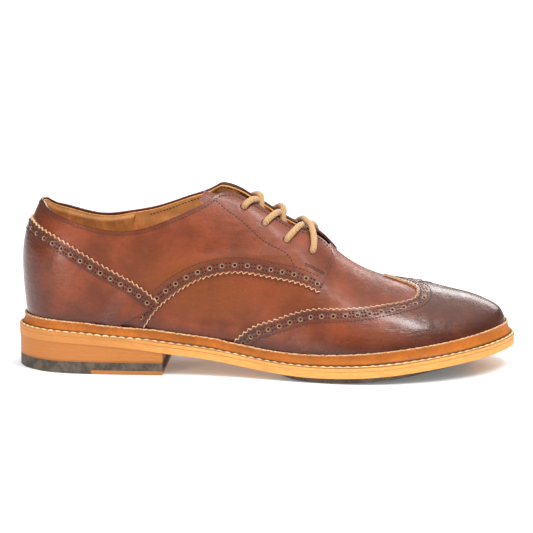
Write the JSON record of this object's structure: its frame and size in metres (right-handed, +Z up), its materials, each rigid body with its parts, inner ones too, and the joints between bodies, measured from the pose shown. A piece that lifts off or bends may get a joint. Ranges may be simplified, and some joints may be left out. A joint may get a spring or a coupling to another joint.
{
  "type": "leather wingtip shoe",
  "caption": "Right-foot brown leather brogue shoe with open lacing, storm welt, stacked heel and a tongue hinged at the throat.",
  "frame": {"origin": "centre of the bounding box in plan, on the ground under the heel and ball", "axes": "+X from heel to toe, +Y to the wearer's left (inner side of this right shoe), +Z up"},
  "size_m": [0.304, 0.1074, 0.1121],
  "materials": {
    "upper_leather": "burnished, waxed",
    "lining_leather": "natural, unfinished",
    "sole_leather": "edge dyed and waxed",
    "rand_leather": "waxed",
    "sole_rubber": "matt",
    "cork": "granulated cork",
    "steel": "plain",
    "nail_brass": "plain",
    "stiffener_board": "hardened",
    "lace_cotton": "waxed round cord",
    "lace_tip": "clear brown"
  },
  "bodies": {
    "shoe": {"outsole": "sole_leather", "forepart_rubber": "sole_rubber", "heel_wedge_lift": "sole_leather", "heel_lift_upper": "sole_leather", "heel_lift_lower": "sole_leather", "heel_rubber_lift": "sole_rubber", "heel_leather_tip": "sole_leather", "heel_nails": "nail_brass", "welt": "sole_leather", "storm_rand": "rand_leather", "insole": "sole_leather", "sock_liner": "lining_leather", "shank": "steel", "cork_filler": "cork", "toe_puff": "stiffener_board", "heel_stiffener": "stiffener_board", "vamp": "upper_leather", "vamp_lining": "lining_leather", "wing_cap": "upper_leather", "heel_counter": "upper_leather", "heel_lining": "lining_leather", "quarter_lateral": "upper_leather", "quarter_medial": "upper_leather", "quarter_lining_lateral": "lining_leather", "quarter_lining_medial": "lining_leather", "shoelace": "lace_cotton", "aglets": "lace_tip"},
    "tongue": {"tongue": "upper_leather", "tongue_lining": "lining_leather"}
  },
  "joints": [
    {"name": "tongue_flex", "type": "hinge", "parent": "shoe", "child": "tongue", "pos_m": [0.0472, 0.0035, 0.0598], "axis": [0, 1, 0], "range_deg": [-18, 0], "stiffness_Nm_per_rad": 0.2, "springref_deg": 1.72}
  ]
}
